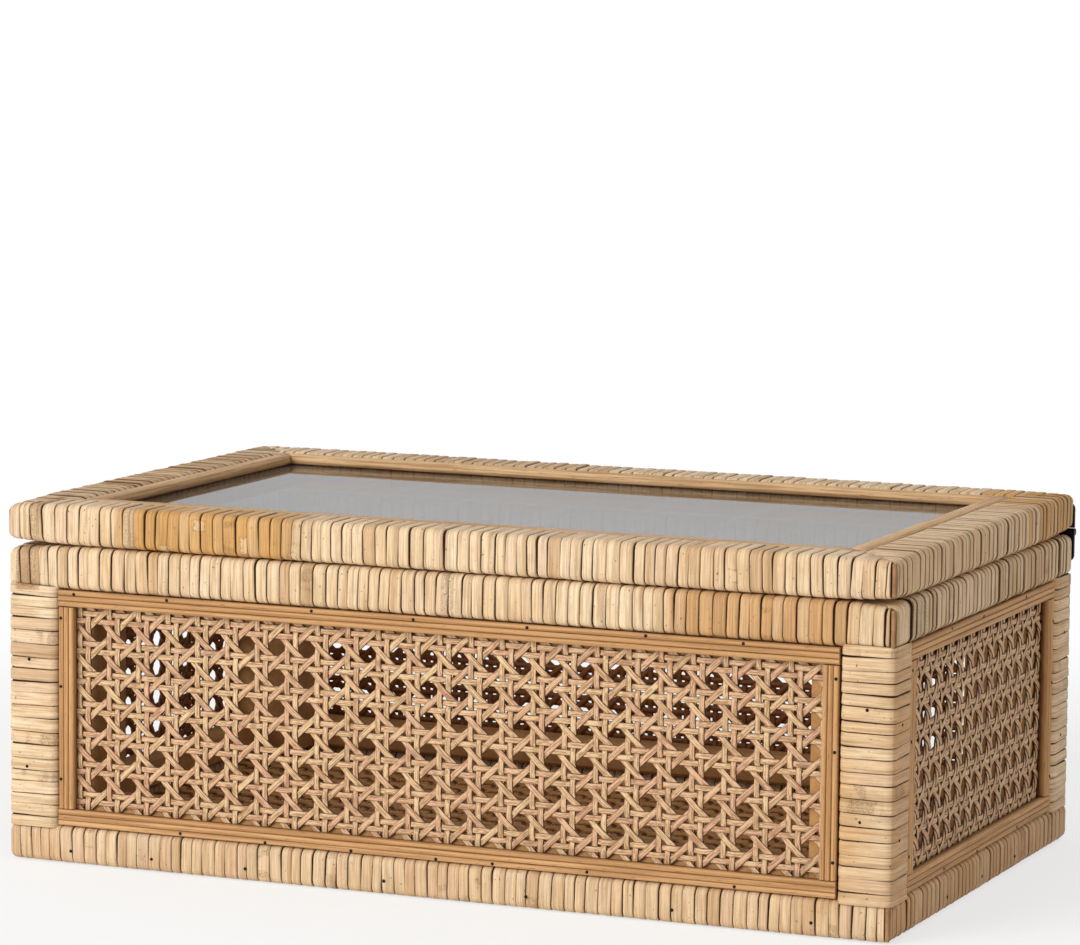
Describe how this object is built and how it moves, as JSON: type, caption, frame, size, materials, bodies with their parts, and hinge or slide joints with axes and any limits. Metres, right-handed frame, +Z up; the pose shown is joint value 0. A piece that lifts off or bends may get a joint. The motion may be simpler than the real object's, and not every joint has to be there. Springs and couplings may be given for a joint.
{
  "type": "rattan storage box",
  "caption": "Rectangular rattan storage box with peel-wrapped rails and posts, cane walls, a woven floor and a hinged lid with a glass pane.",
  "frame": {"origin": "on the table, under the middle of the whole box, hinges included", "axes": "+X right along the long front, +Y from the front to the hinged back, +Z up"},
  "size_m": [0.3612, 0.224, 0.14],
  "materials": {
    "rattan_peel": "split rattan peel, satin, cream to tan, with brown node marks",
    "rattan_core": "half-round rattan core, sanded, warm tan",
    "cane_webbing": "woven cane, matt, pinkish tan",
    "bare_stick": "bare wood stick, matt",
    "woven_floor": "close weave of fine rattan core, matt",
    "clear_glass": "clear float glass",
    "black_steel": "black lacquered steel, satin"
  },
  "bodies": {
    "box": {"base_rail_back": "rattan_peel", "base_rail_front": "rattan_peel", "base_rail_left": "rattan_peel", "base_rail_right": "rattan_peel", "bottom_stick_back": "bare_stick", "bottom_stick_front": "bare_stick", "bottom_stick_left": "bare_stick", "bottom_stick_right": "bare_stick", "bottom_trim_back": "rattan_core", "bottom_trim_front": "rattan_core", "bottom_trim_left": "rattan_core", "bottom_trim_right": "rattan_core", "cane_panel_back": "cane_webbing", "cane_panel_front": "cane_webbing", "cane_panel_left": "cane_webbing", "cane_panel_right": "cane_webbing", "corner_post_back_left": "rattan_peel", "corner_post_back_right": "rattan_peel", "corner_post_front_left": "rattan_peel", "corner_post_front_right": "rattan_peel", "hinge_leaf_box_left": "black_steel", "hinge_leaf_box_right": "black_steel", "hinge_pin_left": "black_steel", "hinge_pin_right": "black_steel", "inner_post_back_left": "bare_stick", "inner_post_back_right": "bare_stick", "inner_post_front_left": "bare_stick", "inner_post_front_right": "bare_stick", "left_trim_back": "rattan_core", "left_trim_front": "rattan_core", "left_trim_left": "rattan_core", "left_trim_right": "rattan_core", "right_trim_back": "rattan_core", "right_trim_front": "rattan_core", "right_trim_left": "rattan_core", "right_trim_right": "rattan_core", "rim_rail_back": "rattan_peel", "rim_rail_front": "rattan_peel", "rim_rail_left": "rattan_peel", "rim_rail_right": "rattan_peel", "top_stick_back": "bare_stick", "top_stick_front": "bare_stick", "top_stick_left": "bare_stick", "top_stick_right": "bare_stick", "top_trim_back": "rattan_core", "top_trim_front": "rattan_core", "top_trim_left": "rattan_core", "top_trim_right": "rattan_core", "woven_floor": "woven_floor"},
    "lid": {"glass_bead_back": "rattan_core", "glass_bead_front": "rattan_core", "glass_bead_left": "rattan_core", "glass_bead_right": "rattan_core", "glass_pane": "clear_glass", "hinge_leaf_lid_left": "black_steel", "hinge_leaf_lid_right": "black_steel", "lid_rail_back": "rattan_peel", "lid_rail_front": "rattan_peel", "lid_rail_left": "rattan_peel", "lid_rail_right": "rattan_peel"}
  },
  "joints": [
    {"name": "lid_hinge", "type": "hinge", "parent": "box", "child": "lid", "pos_m": [0, 0.11045, 0.1238], "axis": [-1, 0, 0], "range_deg": [0, 180]}
  ]
}
